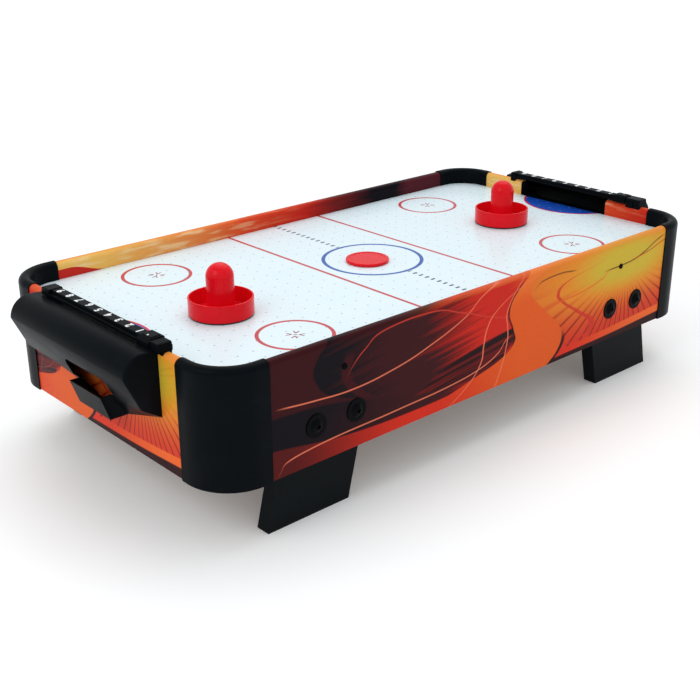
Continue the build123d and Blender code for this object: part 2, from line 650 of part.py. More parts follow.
def fan_guard():
    """Wire guard under the fan: four rings, four spokes and four eyes."""
    eye_radius, eye_thick = GUARD_EYE
    eye_top = FAN_BOTTOM - GUARD_GAP
    spoke_level = eye_top - GUARD_SPOKE_RADIUS
    ring_level = spoke_level - GUARD_RING_RADIUS
    spoke_end = FAN_HOLE * math.sqrt(2) - eye_radius + 0.7
    guard = Pos(0, 0, ring_level) * Torus(GUARD_RINGS[0], GUARD_RING_RADIUS)
    for radius in GUARD_RINGS[1:]:
        guard += Pos(0, 0, ring_level) * Torus(radius, GUARD_RING_RADIUS)
    for turn in (45, 135, 225, 315):
        guard += Rot(0, 0, turn) * rod_x(GUARD_SPOKE_RADIUS, 0, spoke_level, GUARD_RINGS[0], spoke_end)
    for x, y in fan_hole_places():
        guard += rod_z(eye_radius, x, y, eye_top - eye_thick, eye_top)
        guard -= rod_z(2.2, x, y, eye_top - 4, eye_top + 1)
    return guard


def fan_screws():
    """Long screws through the guard, the frame and the bottom board."""
    screw = Rot(180, 0, 0) * wood_screw(FAN_DEPTH + 9, 2.0, 4.0, 2.2)
    head_seat = FAN_BOTTOM - GUARD_GAP - GUARD_EYE[1]
    return [Pos(x, y, head_seat) * screw for x, y in fan_hole_places()]


def fan_nuts():
    """Nuts on the fan screws, inside the air chamber."""
    nut = extrude(RegularPolygon(4.0, 6), 3.2) - Pos(0, 0, 1.6) * Cylinder(2.0, 6)
    return [Pos(x, y, RAIL_BOTTOM) * nut for x, y in fan_hole_places()]


# ---------------------------------------------------------------- power switch, inlet and lead
def switch_housing():
    """Switch body with a bezel outside the far side panel and a pocket for the rocker."""
    x, z = SWITCH_AT
    half_x, half_z = SWITCH_HALF
    body = box_between((x - half_x, INNER_Y - 4, z - half_z), (x + half_x, HALF_WIDTH + 1, z + half_z))
    rim_x, rim_z = half_x + 2, half_z + 2
    bezel = box_between((x - rim_x, HALF_WIDTH, z - rim_z), (x + rim_x, HALF_WIDTH + 2, z + rim_z))
    body += fillet(bezel.edges().filter_by(Axis.Y), 1.5)
    body -= box_between((x - 5.2, HALF_WIDTH - 12, z - 8.4), (x + 5.2, HALF_WIDTH + 5, z + 8.4))
    return body - rod_x(1.25, ROCKER_PIVOT_Y, z, x - 6.6, x + 6.6)


def switch_rocker():
    """Rocker at rest in its off position, tipped about its cross pin."""
    half = [(7, 3.6), (7, 0), (2.2, -5)]
    corners = [(0, 2.2)] + half + [(-y, z) for y, z in reversed(half)]
    profile = make_face(Polyline(*[(0, y, z) for y, z in corners], close=True))
    rocker = extrude(profile, 4.8, both=True, dir=(1, 0, 0))
    rocker += Rot(0, 90, 0) * Cylinder(1.2, 12.8)
    x, z = SWITCH_AT
    return Pos(x, ROCKER_PIVOT_Y, z) * Rot(ROCKER_TIP - 90, 0, 0) * rocker


def power_inlet():
    """Round socket for a low-voltage plug, with its centre pin."""
    x, z = INLET_AT
    body = rod_y(6.0, x, z, INNER_Y - 8, HALF_WIDTH + 1) + rod_y(9.0, x, z, HALF_WIDTH, HALF_WIDTH + 1.6)
    body -= rod_y(2.8, x, z, HALF_WIDTH - 8, HALF_WIDTH + 3)
    return body + rod_y(1.0, x, z, HALF_WIDTH - 9, HALF_WIDTH - 0.5)


def inlet_nut():
    """Nut that clamps the inlet inside the panel."""
    x, z = INLET_AT
    nut = Pos(x, INNER_Y, z) * Rot(90, 0, 0) * extrude(RegularPolygon(9.5, 6), 3)
    return nut - rod_y(6.0, x, z, INNER_Y - 4, INNER_Y + 1)


def lead(points, radius):
    """Round lead along straight runs joined by arcs as large as the runs allow."""
    corners = [Vector(*p) for p in points]
    radii = []
    for before, here, after in zip(corners, corners[1:], corners[2:]):
        run = min((here - before).length, (after - here).length)
        turn = math.radians((here - before).get_angle(after - here))
        radii.append(0.45 * run / math.tan(turn / 2))
    print("lead bend radii:", [round(r, 1) for r in radii])
    path = FilletPolyline(*points, radius=radii)
    section = Plane(origin=path @ 0, z_dir=path % 0) * Circle(radius)
    return sweep(section, path)


def lead_route():
    """Corner points of the lead from the switch to the side of the fan frame."""
    x, z = SWITCH_AT
    back = INNER_Y - 4
    return [
        (x, back, z), (x, back - 24, z), (x - 6, back - 52, z + 15), (x - 20, back - 92, z + 30),
        (x - 34, back - 138, z + 34), (x - 46, back - 184, z + 30), (x - 60, back - 208, z + 24),
        (FAN_SIZE / 2, back - 208, z + 24),
    ]


def fan_lead():
    """Lead from the switch to the fan frame, held under the bottom board."""
    return lead(lead_route(), LEAD_RADIUS)


def lead_clips():
    """Two blocks under the bottom board that hold the lead at the middle of a straight run."""
    route = [Vector(*point) for point in lead_route()]
    clips = []
    for before, after in ((3, 4), (4, 5)):
        middle = (route[before] + route[after]) * 0.5
        along = (route[after] - route[before]).normalized()
        turn = math.degrees(math.atan2(along.Y, along.X))
        low = middle.Z - 5
        block = box_between((-4, -6, low), (4, 6, BOARD_BOTTOM))
        block = Pos(middle.X, middle.Y, 0) * Rot(0, 0, turn) * fillet(block.edges().filter_by(Axis.Z), 1.5)
        groove = Plane(origin=middle - along * 10, z_dir=along) * Circle(LEAD_RADIUS + 0.05)
        clips.append(block - extrude(groove, 20))
    return clips


# ---------------------------------------------------------------- assembly
def build_parts():
    """Every node's shape, by name."""
    parts = {}
    parts["side_panel_near"] = mirror(plain_side_panel(), about=Plane.XZ)
    parts["side_panel_far"] = far_side_panel()
    right_end = end_panel() - score_peg_holes()
    left_end = half_turn(end_panel()) - mirror(score_peg_holes(), about=Plane.YZ)
    parts["end_panel_right"] = right_end
    parts["end_panel_left"] = left_end
    for corner, shape in four_corners(corner_cap()).items():
        parts["corner_cap_" + corner] = shape
    parts["corner_blocks"] = list(four_corners(corner_block()).values())

    parts["playfield"] = playfield()
    parts["side_rail_far"] = drilled_for_board(side_rail())
    parts["side_rail_near"] = mirror(parts["side_rail_far"], about=Plane.XZ)
    parts["end_rail_right"] = drilled_for_board(end_rail())
    parts["end_rail_left"] = half_turn(parts["end_rail_right"])
    parts["cross_rail_right"] = cross_rail()
    parts["cross_rail_left"] = half_turn(cross_rail())
    parts["bottom_board"] = bottom_board()
    parts["board_screws"] = board_screws()

    for corner, shape in four_corners(leg()).items():
        parts["leg_" + corner] = shape
    parts["leg_bolts"] = [on_side(leg_bolt(), x, side) for x, side in bolt_places()]
    parts["leg_washers"] = [on_side(leg_washer(), x, side) for x, side in bolt_places()]
    parts["leg_nuts"] = [on_side(leg_nut(), x, side) for x, side in bolt_places()]
    parts["panel_screws"] = panel_screws()

    parts["goal_hood_right"] = goal_hood()
    parts["goal_hood_left"] = half_turn(parts["goal_hood_right"])
    parts["hood_screws"] = hood_screws()
    parts["score_rail_right"] = score_rail(*SCORE_ENDS_RIGHT)
    parts["score_rail_left"] = mirror(score_rail(*SCORE_ENDS_LEFT), about=Plane.YZ)
    parts["score_slider_right"] = score_slider()
    parts["score_slider_left"] = mirror(parts["score_slider_right"], about=Plane.YZ)

    for side, place in (("left", PUSHER_LEFT), ("right", PUSHER_RIGHT)):
        parts["pusher_" + side] = pusher_shell(*place)
        parts["pusher_felt_" + side] = pusher_felt(*place)
    parts["puck"] = puck()

    parts["fan_frame"] = fan_frame()
    parts["fan_motor"] = fan_motor()
    parts["fan_rotor"] = fan_rotor()
    parts["fan_shaft"] = fan_shaft()
    parts["fan_guard"] = fan_guard()
    parts["fan_screws"] = fan_screws()
    parts["fan_nuts"] = fan_nuts()

    parts["power_switch"] = switch_housing()
    parts["power_rocker"] = switch_rocker()
    parts["power_inlet"] = power_inlet()
    parts["inlet_nut"] = inlet_nut()
    parts["fan_lead"] = fan_lead()
    parts["lead_clips"] = lead_clips()
    return parts


os.makedirs("parts", exist_ok=True)
for name, shape in build_parts().items():
    if isinstance(shape, list):
        shape = Compound(children=shape)
    export_step(shape, f"parts/{name}.step")
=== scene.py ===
import json
import math

import bmesh
import bpy
from mathutils import Matrix, Vector


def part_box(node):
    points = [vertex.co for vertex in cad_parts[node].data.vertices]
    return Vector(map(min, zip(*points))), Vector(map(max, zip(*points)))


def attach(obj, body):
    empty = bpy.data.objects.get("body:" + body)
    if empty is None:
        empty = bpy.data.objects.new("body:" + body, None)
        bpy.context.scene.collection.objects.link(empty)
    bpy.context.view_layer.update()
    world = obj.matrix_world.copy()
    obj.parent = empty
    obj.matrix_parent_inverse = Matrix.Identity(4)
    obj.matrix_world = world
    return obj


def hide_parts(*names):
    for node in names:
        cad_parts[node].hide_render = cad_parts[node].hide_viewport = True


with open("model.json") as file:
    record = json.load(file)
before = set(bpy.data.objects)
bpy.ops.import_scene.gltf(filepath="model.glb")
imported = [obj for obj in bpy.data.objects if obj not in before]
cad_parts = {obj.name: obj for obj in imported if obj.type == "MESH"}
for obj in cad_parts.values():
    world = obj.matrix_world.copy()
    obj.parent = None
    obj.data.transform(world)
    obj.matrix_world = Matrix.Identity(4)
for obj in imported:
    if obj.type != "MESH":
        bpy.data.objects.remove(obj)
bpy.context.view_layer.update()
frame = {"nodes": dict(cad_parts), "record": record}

# ---------------------------------------------------------------- where things are, from the frame (metres)
NEAR_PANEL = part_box("side_panel_near")
FAR_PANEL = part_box("side_panel_far")
LEFT_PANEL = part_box("end_panel_left")
RIGHT_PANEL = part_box("end_panel_right")
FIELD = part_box("playfield")
PANEL_LOW = NEAR_PANEL[0].z
PANEL_HIGH = NEAR_PANEL[1].z
HALF_LENGTH = RIGHT_PANEL[1].x
FIELD_TOP = FIELD[1].z

# the printed field, all in metres
FACE_OFF = (0.303, 0.170)          # centre of a face-off circle, in each quarter
FACE_OFF_RADIUS = 0.0525
STROKE = 0.0056
RED_LINE_X = 0.1015
CENTRE_RADIUS = 0.080
CENTRE_STROKE = 0.0062
DASH_PITCH = 0.013
DASH_HALF = 0.0044                 # half the length of a dash
DASH_START = 0.0045                # from the middle of the centre circle's stroke to the first dash
HOLE_PITCH = 0.0254                # of the air holes, with one in the middle of the field
HOLE_SHADE_RADIUS = 0.0016                 # radius of the painted shade round an air hole
FAR_OFF = 40                       # pitches, more than from any place on the field to its middle
CREASE_X = 0.5322
CREASE_RADIUS = 0.0958
CREASE_STROKE = 0.0038
INK_EDGE = 0.0004                  # softness of a printed edge
FINE_EDGE = 0.0003                 # softness of the smallest marks
CHEVRON_TIP = 0.0050               # from the middle of a face-off circle to the tip of a chevron
CHEVRON_END = 0.0128
CHEVRON_HALF = 0.0011              # half the width of its stroke
LAMINATE_THICK = 0.0006

# the score rails and the goal hoods
DIGIT_PITCH = 0.0255
FONT_SIZE = 0.0112 * 1.36
DIGIT_BOLD = 0.0006                # how far a digit's outline is moved outwards
PRINT_THICK = 0.00012
RAIL_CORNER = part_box("score_rail_right")[1]
RIB_MIDDLE = RAIL_CORNER.x - 0.0124          # X of the rib that carries the digits
RIB_TOP = RAIL_CORNER.z - 0.0008
DOT_X = RAIL_CORNER.x - 0.0075
DOT_RADIUS = 0.0016
DOT_FLATTENING = 0.22
MERGE = 1e-6                       # corners nearer than this are one corner
NEAR_END = 1e-5                    # a hood's corner this near its end lies on the end
SHARP_ANGLE = math.radians(34)     # edges that fold more than this stay sharp
HOOD_ROUND = 0.0028                # radius along the outer edges of a hood's ends
HOOD_FLAT = 0.002                  # a hood's edges stay sharp this near the end panel
HOOD_STEPS = 6


# ---------------------------------------------------------------- arithmetic on shader sockets
class Field:
    """A number that varies over a surface: one output in a node tree."""

    def __init__(self, tree, socket):
        self.tree = tree
        self.socket = socket

    def __add__(self, other):
        return calc("ADD", self, other)

    def __sub__(self, other):
        return calc("SUBTRACT", self, other)

    def __rsub__(self, other):
        return calc("SUBTRACT", other, self)

    def __mul__(self, other):
        return calc("MULTIPLY", self, other)

    def __truediv__(self, other):
        return calc("DIVIDE", self, other)

    def __abs__(self):
        return calc("ABSOLUTE", self)

    __radd__ = __add__
    __rmul__ = __mul__


def calc(operation, *values):
    """A Math node over fields and plain numbers."""
    tree = next(value.tree for value in values if isinstance(value, Field))
    node = tree.nodes.new("ShaderNodeMath")
    node.operation = operation
    for slot, value in zip(node.inputs, values):
        if isinstance(value, Field):
            tree.links.new(value.socket, slot)
        else:
            slot.default_value = value
    return Field(tree, node.outputs[0])


def length(a, b):
    """Length of the flat vector (a, b)."""
    return calc("SQRT", a * a + b * b)


def smallest(*fields):
    """The smallest of some fields."""
    found = fields[0]
    for field in fields[1:]:
        found = calc("MINIMUM", found, field)
    return found


def largest(*fields):
    """The largest of some fields."""
    found = fields[0]
    for field in fields[1:]:
        found = calc("MAXIMUM", found, field)
    return found


def rise(field, low, high):
    """0 below low, 1 above high, and smooth between them."""
    node = field.tree.nodes.new("ShaderNodeMapRange")
    node.interpolation_type = "SMOOTHSTEP"
    field.tree.links.new(field.socket, node.inputs["Value"])
    node.inputs["From Min"].default_value = low
    node.inputs["From Max"].default_value = high
    return Field(field.tree, node.outputs["Result"])


def above(field, limit, soft):
    """1 where the field is above the limit, with a soft edge."""
    return rise(field, limit - soft, limit + soft)


def below(field, limit, soft):
    """1 where the field is below the limit, with a soft edge."""
    return 1 - above(field, limit, soft)


def curve(field, points):
    """Smooth curve through a few points, as a function of the field, which goes from 0 to 1."""
    node = field.tree.nodes.new("ShaderNodeFloatCurve")
    line = node.mapping.curves[0]
    line.points[0].location = points[0]
    line.points[-1].location = points[-1]
    for point in points[1:-1]:
        line.points.new(*point)
    node.mapping.update()
    field.tree.links.new(field.socket, node.inputs["Value"])
    return Field(field.tree, node.outputs["Value"])


def linear(channel):
    """Linear value of a colour channel that goes from 0 to 255 on a screen."""
    value = channel / 255
    return value / 12.92 if value <= 0.04045 else ((value + 0.055) / 1.055) ** 2.4


def rgb(red, green, blue):
    """Colour from the channels that a screen shows, each from 0 to 255."""
    return (linear(red), linear(green), linear(blue), 1.0)


def mix(factor, first, second):
    """Colour between first and second; each is a tuple or a socket."""
    tree = factor.tree
    node = tree.nodes.new("ShaderNodeMix")
    node.data_type = "RGBA"
    tree.links.new(factor.socket, node.inputs["Factor"])
    slots = [s for s in node.inputs if s.type == "RGBA"]
    for slot, colour in zip(slots, (first, second)):
        if isinstance(colour, tuple):
            slot.default_value = colour
        else:
            tree.links.new(colour, slot)
    return next(s for s in node.outputs if s.type == "RGBA")


def ramp(field, stops):
    """Colour that changes with the field, through (place, colour) stops."""
    node = field.tree.nodes.new("ShaderNodeValToRGB")
    elements = node.color_ramp.elements
    elements[0].position, elements[0].color = stops[0]
    elements[1].position, elements[1].color = stops[-1]
    for place, colour in stops[1:-1]:
        elements.new(place).color = colour
    field.tree.links.new(field.socket, node.inputs["Fac"])
    return node.outputs["Color"]


def noise(tree, place, scale, detail=3.0, stretch=(1, 1, 1), roughness=0.5):
    """Noise from 0 to 1 at a place, stretched by dividing the frequency along each axis."""
    node = tree.nodes.new("ShaderNodeTexNoise")
    node.inputs["Scale"].default_value = scale
    node.inputs["Detail"].default_value = detail
    node.inputs["Roughness"].default_value = roughness
    mapping = tree.nodes.new("ShaderNodeMapping")
    mapping.inputs["Scale"].default_value = [1 / s for s in stretch]
    tree.links.new(place, mapping.inputs["Vector"])
    tree.links.new(mapping.outputs["Vector"], node.inputs["Vector"])
    return Field(tree, node.outputs["Fac"])


class Paint:
    """A material in the making: its shader, and the point and the direction of the surface."""

    def __init__(self, name, **constants):
        self.material = bpy.data.materials.new(name)
        self.material.use_nodes = True
        self.tree = self.material.node_tree
        self.shader = self.tree.nodes["Principled BSDF"]
        self.place = self.tree.nodes.new("ShaderNodeTexCoord").outputs["Object"]
        self.x, self.y, self.z = self.split(self.place)
        for socket, value in constants.items():
            self.shader.inputs[socket.replace("_", " ")].default_value = value

    def split(self, vector):
        node = self.tree.nodes.new("ShaderNodeSeparateXYZ")
        self.tree.links.new(vector, node.inputs[0])
        return [Field(self.tree, output) for output in node.outputs]

    def normal(self):
        return self.split(self.tree.nodes.new("ShaderNodeNewGeometry").outputs["True Normal"])

    def noise(self, scale, **options):
        return noise(self.tree, self.place, scale, **options)

    def colour(self, colour):
        self.tree.links.new(colour, self.shader.inputs["Base Color"])

    def roughness(self, field):
        self.tree.links.new(field.socket, self.shader.inputs["Roughness"])

    def bump(self, field, depth):
        """Fine relief: the field times depth, in metres."""
        node = self.tree.nodes.new("ShaderNodeBump")
        node.inputs["Distance"].default_value = depth
        self.tree.links.new(field.socket, node.inputs["Height"])
        self.tree.links.new(node.outputs["Normal"], self.shader.inputs["Normal"])


# ---------------------------------------------------------------- the print on the panels
MAROON = rgb(58, 18, 22)
NIGHT = rgb(17, 13, 20)
DUSK = rgb(60, 20, 24)
EMBER = rgb(132, 26, 22)
RED = rgb(204, 40, 28)
ORANGE = rgb(226, 92, 34)
AMBER = rgb(228, 140, 42)
STRAW = rgb(206, 176, 54)

PANEL_RATIO = 6.1                  # a panel's length over its height

# Curves of the print. Places are shares of the panel's length and height, from its lower left.
BLOB_EDGE = [(0.0, 0.40), (0.36, 0.27), (0.5, 0.19), (0.72, 0.151), (0.88, 0.156), (1.0, 0.178)]
NIGHT_TOP = [(0.0, 0.52), (0.13, 0.50), (0.2, 0.44), (0.27, 0.34), (0.4, 0.20), (1.0, 0.0)]
WEDGE_TOP = [(0.0, 0.30), (0.09, 0.24), (0.2, 0.14), (0.33, 0.105), (0.42, 0.12), (0.5, 0.2),
             (1.0, 0.9)]
RIVER_LEFT = [(0.0, 0.30), (0.16, 0.44), (0.26, 0.512), (0.37, 0.540), (0.5, 0.537), (0.68, 0.526),
              (0.82, 0.536), (1.0, 0.575)]
RIVER_RIGHT = [(0.0, 0.623), (0.13, 0.650), (0.28, 0.655), (0.45, 0.632), (0.63, 0.598), (0.8, 0.573),
               (0.9, 0.58), (1.0, 0.62)]
LEAF_TOP = [(0.0, 0.1), (0.33, 0.24), (0.38, 0.37), (0.45, 0.46), (0.53, 0.52), (1.0, 0.5)]
LEAF_LOW = [(0.0, 0.3), (0.33, 0.24), (0.4, 0.19), (0.46, 0.165), (0.51, 0.24), (0.535, 0.36),
            (1.0, 1.0)]
SHORE_TOP = [(0.0, 0.1), (0.62, 0.095), (0.655, 0.105), (0.79, 0.13), (0.918, 0.17), (1.0, 0.20)]
SHORE_LOW = [(0.0, 0.02), (0.62, 0.04), (0.655, 0.045), (0.79, 0.058), (0.918, 0.09), (1.0, 0.11)]
RIBBON = [(0.0, 0.62), (0.127, 0.66), (0.16, 0.712), (0.256, 0.731), (0.437, 0.692), (0.588, 0.653),
          (0.694, 0.639), (0.784, 0.66), (0.84, 0.72), (1.0, 0.95)]
CLOUD_FOLD = [(0.0, 0.30), (0.3, 0.262), (0.38, 0.247), (0.5, 0.222), (0.65, 0.205), (0.8, 0.210),
              (1.0, 0.222)]
PINK = rgb(240, 124, 92)
BROWN = rgb(104, 58, 26)
LINES_ALONG = [  # height as a function of the length: curve, half width in shares of the height, colour
    ([(0.0, 0.63), (0.084, 0.588), (0.15, 0.545), (0.215, 0.520), (0.288, 0.558), (0.367, 0.664),
      (0.426, 0.784), (0.505, 1.0), (1.0, 1.0)], 0.0062, PINK),
    ([(0.0, 0.0), (0.084, 0.006), (0.101, 0.106), (0.141, 0.145), (0.298, 0.175), (0.397, 0.196),
      (0.461, 0.241), (0.505, 0.332), (0.5246, 0.437), (1.0, 1.0)], 0.0062, PINK),
    ([(0.0, 0.2), (0.200, 0.60), (0.2096, 0.678), (0.24, 0.84), (0.2736, 0.935), (0.357, 0.95),
      (0.416, 0.859), (0.485, 0.709), (0.5246, 0.648), (1.0, 0.5)], 0.0062, rgb(206, 62, 48)),
    ([(0.0, 0.5), (0.574, 0.80), (0.5985, 0.874), (0.643, 0.89), (0.677, 0.87), (1.0, 0.8)], 0.007, BROWN),
    ([(0.0, 0.6), (0.7485, 0.745), (0.83, 0.763), (0.859, 0.805), (0.9134, 0.92), (1.0, 1.0)], 0.008, BROWN),
    ([(0.0, 0.6), (0.82, 0.765), (0.87, 0.80), (0.923, 0.8745), (1.0, 0.95)], 0.007, rgb(190, 60, 30)),
    ([(0.0, 0.5), (0.5935, 0.603), (0.65, 0.607), (0.692, 0.618), (0.756, 0.694), (0.766, 0.739),
      (1.0, 1.0)], 0.007, ORANGE),
]
LINES_UP = [  # length as a function of the height: curve, half width in shares of the length, colour
    ([(0.0, 0.40), (0.015, 0.4065), (0.1357, 0.441), (0.2865, 0.4655), (0.4674, 0.4715), (0.618, 0.4778),
      (0.7388, 0.495), (0.8896, 0.549), (1.0, 0.62)], 0.0013, PINK),
    ([(0.0, 0.50), (0.43, 0.524), (0.56, 0.5225), (0.6785, 0.5197), (0.875, 0.539), (1.0, 0.56)],
     0.0011, PINK),
]
BANK_EDGE = 0.0012                 # softness of the river's banks
SUN = (0.812, 0.78)                # middle of the sunburst
RAY_COUNT = 50
STREAK_SLOPE = 0.75                # rise of the dark streaks, in heights for each panel's length


def group_input(tree, name):
    """Number that a material gives to the print."""
    tree.interface.new_socket(name, in_out="INPUT", socket_type="NodeSocketFloat")


def dusk(along, up, streak):
    """Left half of the print: night, maroon cloud and red streaks."""
    wavy = along + (streak - 0.5) * 0.30 + (up - 0.5) * 0.04
    sky = ramp(wavy, [(0.0, NIGHT), (0.20, NIGHT), (0.28, DUSK), (0.36, DUSK), (0.41, EMBER), (0.47, RED),
                      (0.56, RED), (0.64, ORANGE), (1.0, AMBER)])
    cloud = above(curve(up, BLOB_EDGE) - along, 0, 0.002) * above(up - curve(along, NIGHT_TOP), 0, 0.01)
    sky = mix(cloud, sky, MAROON)
    fold = below(abs(along - curve(up, CLOUD_FOLD)), 0.008, 0.003)
    fold = fold * rise(up, 0.36, 0.42) * below(up, 0.83, 0.04)
    sky = mix(fold * 0.8, sky, rgb(66, 18, 22))
    deep = below(up, 0.42, 0.16) * below(along, 0.42, 0.10) * below(up - curve(along, NIGHT_TOP), 0.02, 0.05)
    return mix(deep, sky, mix(rise(along, 0.12, 0.36), NIGHT, DUSK))


def leaf(along, up, streak, under):
    """Dark leaf between the red streaks and the river."""
    inside = above(curve(along, LEAF_TOP) - up, 0, 0.008) * above(up - curve(along, LEAF_LOW), 0, 0.008)
    inside = inside * above(along, 0.33, 0.002)
    return mix(inside, under, mix(rise(streak, 0.42, 0.6), rgb(34, 12, 18), rgb(112, 24, 24)))


def sunburst(along, up, under):
    """Right half of the print: a pale sun, fine rays and plank lines over red ground."""
    across = along - SUN[0]
    height = up - SUN[1]
    far = length(across * 2.0, height)
    glow = ramp(far, [(0.0, STRAW), (0.14, STRAW), (0.30, AMBER), (0.5, rgb(224, 112, 40)), (1.0, ORANGE)])
    glow = mix(below(up, 0.36, 0.24) * rise(far, 0.18, 0.36) * 0.92, glow, rgb(210, 50, 34))
    angle = calc("ARCTAN2", height, across * PANEL_RATIO)
    ray = calc("SINE", angle * RAY_COUNT)
    burst = rise(far, 0.16, 0.5) * below(up, 0.72, 0.10)
    glow = mix(rise(ray, -0.1, 0.9) * burst * 0.45, glow, rgb(206, 52, 32))
    plank = rise(ray, 0.82, 0.97) * burst * below(up, 0.46, 0.16)
    glow = mix(plank * 0.75, glow, rgb(86, 20, 16))
    inside = rise(along - curve(up, RIVER_RIGHT), -0.002, 0.0)
    return mix(inside, under, glow)


def shore(along, up, under):
    """Bright strip and dark ground along the lower right edge."""
    right = above(along - curve(up, RIVER_RIGHT), 0, 0.001)
    strip = right * above(curve(along, SHORE_TOP) - up, 0, 0.008)
    colour = mix(strip, under, mix(rise(along, 0.65, 0.9), rgb(220, 50, 30), rgb(238, 104, 44)))
    ground = right * above(curve(along, SHORE_LOW) - up, 0, 0.008)
    return mix(ground, colour, rgb(46, 14, 18))


def river(along, up, under):
    """The broad orange river with its dark banks, and the red wedge along the lower left edge."""
    left = along - curve(up, RIVER_LEFT)
    right = curve(up, RIVER_RIGHT) - along
    wedge = above(curve(along, WEDGE_TOP) - up, 0, 0.006) * below(along, 0.5, 0.01)
    inside = largest(smallest(above(left, 0, BANK_EDGE), above(right, 0, BANK_EDGE)), wedge)
    body = mix(rise(along, 0.10, 0.34), rgb(88, 24, 24), rgb(214, 48, 30))
    body = mix(rise(along + up * 0.05, 0.36, 0.58), body, ORANGE)
    body = mix(rise(up, 0.7, 1.0), body, rgb(236, 120, 48))
    banks = below(abs(left), 0.0034, BANK_EDGE) * rise(up, 0.25, 0.4) * below(up, 0.93, 0.05)
    colour = mix(banks * 0.9, under, NIGHT)
    colour = mix(inside, colour, body)
    bank = below(abs(right + 0.002), 0.0042, BANK_EDGE) * below(up, 0.26, 0.08)
    return mix(bank * 0.95, colour, NIGHT)


def ribbon(along, up, under):
    """The red ribbon that winds through the sunburst."""
    wide = 0.004 + below(up, 0.4, 0.2) * 0.004
    inside = above(wide - abs(along - curve(up, RIBBON)), 0, 0.001)
    inside = inside * below(up, 0.84, 0.06) * above(up, 0.13, 0.01)
    return mix(inside * 0.85, under, rgb(206, 52, 38))


def artwork():
    """Node group with the colour of the print and a painted highlight along its top edge, at a share of the
    panel's length and of its height.
    """
    tree = bpy.data.node_groups.new("swirl_print_and_top_highlight", "ShaderNodeTree")
    group_input(tree, "Along")
    group_input(tree, "Up")
    group_input(tree, "Lines")
    tree.interface.new_socket("Colour", in_out="OUTPUT", socket_type="NodeSocketColor")
    inputs = tree.nodes.new("NodeGroupInput")
    along, up, lines = (Field(tree, inputs.outputs[name]) for name in ("Along", "Up", "Lines"))
    flat = tree.nodes.new("ShaderNodeCombineXYZ")
    for field, slot in ((along * PANEL_RATIO, 0), (up - along * STREAK_SLOPE, 1)):
        tree.links.new(field.socket, flat.inputs[slot])
    streak = noise(tree, flat.outputs[0], 5.0, detail=5.0, stretch=(14.0, 0.30, 1.0), roughness=0.6)

    colour = dusk(along, up, streak)
    colour = leaf(along, up, streak, colour)
    colour = sunburst(along, up, colour)
    colour = ribbon(along, up, colour)
    colour = shore(along, up, colour)
    colour = river(along, up, colour)
    # painted highlight: a pale orange band along the rounded top edge, from a little left of the middle to
    # the right-hand end
    colour = mix(rise(up, 0.955, 0.985) * rise(along, 0.28, 0.55) * 0.4, colour, rgb(246, 140, 76))
    for points, half, tint in LINES_ALONG:
        line = below(abs(up - curve(along, points)), half, half * 0.5)
        line = line * rise(along, points[1][0], points[1][0] + 0.03) * below(along, points[-2][0], 0.01)
        colour = mix(line * lines * 0.85, colour, tint)
    for points, half, tint in LINES_UP:
        line = below(abs(along - curve(up, points)), half, half * 0.5)
        colour = mix(line * lines * 0.85, colour, tint)
    output = tree.nodes.new("NodeGroupOutput")
    tree.links.new(colour, output.inputs["Colour"])
    return tree


ARTWORK = artwork()


def fibre_colour(paint):
    """Bare fibreboard: brown, with pale and dark fibres."""
    fibres = paint.noise(900.0, detail=5.0, stretch=(2.0, 2.0, 1.0))
    blotches = paint.noise(35.0)
    return ramp(fibres * 0.7 + blotches * 0.3, [(0.3, rgb(104, 74, 48)), (0.5, rgb(146, 110, 76)),
                                               (0.7, rgb(176, 142, 104))])


LINING = [  # colours along the inner side of a panel
    (0.0, rgb(74, 26, 34)), (0.17, rgb(86, 30, 40)), (0.20, NIGHT), (0.27, NIGHT), (0.36, rgb(120, 28, 28)),
    (0.44, RED), (0.56, rgb(226, 76, 40)), (0.68, rgb(236, 140, 74)), (0.84, rgb(246, 192, 100)),
    (1.0, rgb(246, 200, 98)),
]


def lining(paint, along, wedge):
    """Inner side of a panel: dusk to daylight with pale streaks, and a red wedge above the field."""
    flow = paint.noise(60.0, detail=4.0, stretch=(3.5, 3.5, 0.4))
    colour = ramp(along + (flow - 0.5) * 0.06, LINING)
    streaks = rise(flow, 0.50, 0.68) * rise(along, 0.40, 0.7)
    colour = mix(streaks * 0.55, colour, rgb(252, 222, 170))
    top = 0.015 * rise(along, 0.835, 0.90) + FIELD_TOP
    return mix(above(top - paint.z, 0, FINE_EDGE) * wedge, colour, rgb(206, 46, 38))


def printed_board(name, along, inwards, lines, wedge):
    """Printed and varnished panel; along and inwards are functions of the paint, for the place along
    the print and the distance inwards from the panel's middle plane. Lines is the strength of the thin
    lines, and wedge is 1 where the inner side has its red wedge."""
    paint = Paint(name, Specular_IOR_Level=0.05)
    up = (paint.z - PANEL_LOW) / (PANEL_HIGH - PANEL_LOW)
    place = along(paint)
    depth = inwards(paint)
    group = paint.tree.nodes.new("ShaderNodeGroup")
    group.node_tree = ARTWORK
    paint.tree.links.new(place.socket, group.inputs["Along"])
    paint.tree.links.new(up.socket, group.inputs["Up"])
    group.inputs["Lines"].default_value = lines
    printed = mix(rise(depth, 0.0, 0.0065), group.outputs["Colour"], lining(paint, place, wedge))
    grain = paint.noise(260.0, detail=4.0)
    printed = mix(rise(grain, 0.35, 0.75) * 0.06, printed, rgb(40, 20, 20))
    inside = above(depth, 0, 0.001)
    raw = largest(below(paint.normal()[2], -0.7, 0.05), inside * below(paint.z, FIELD[0].z - 0.002, 0.0005))
    paint.colour(mix(raw, printed, fibre_colour(paint)))
    paint.roughness(0.24 + paint.noise(60.0) * 0.12 + raw * 0.4)
    paint.bump(paint.noise(420.0, detail=2.0) + raw * paint.noise(1500.0), 0.00004)
    return paint.material


# ---------------------------------------------------------------- the printed field
def ring(distance, radius, stroke):
    """1 on a ring of that radius, measured to the middle of its stroke."""
    return below(abs(distance - radius), stroke / 2, INK_EDGE)


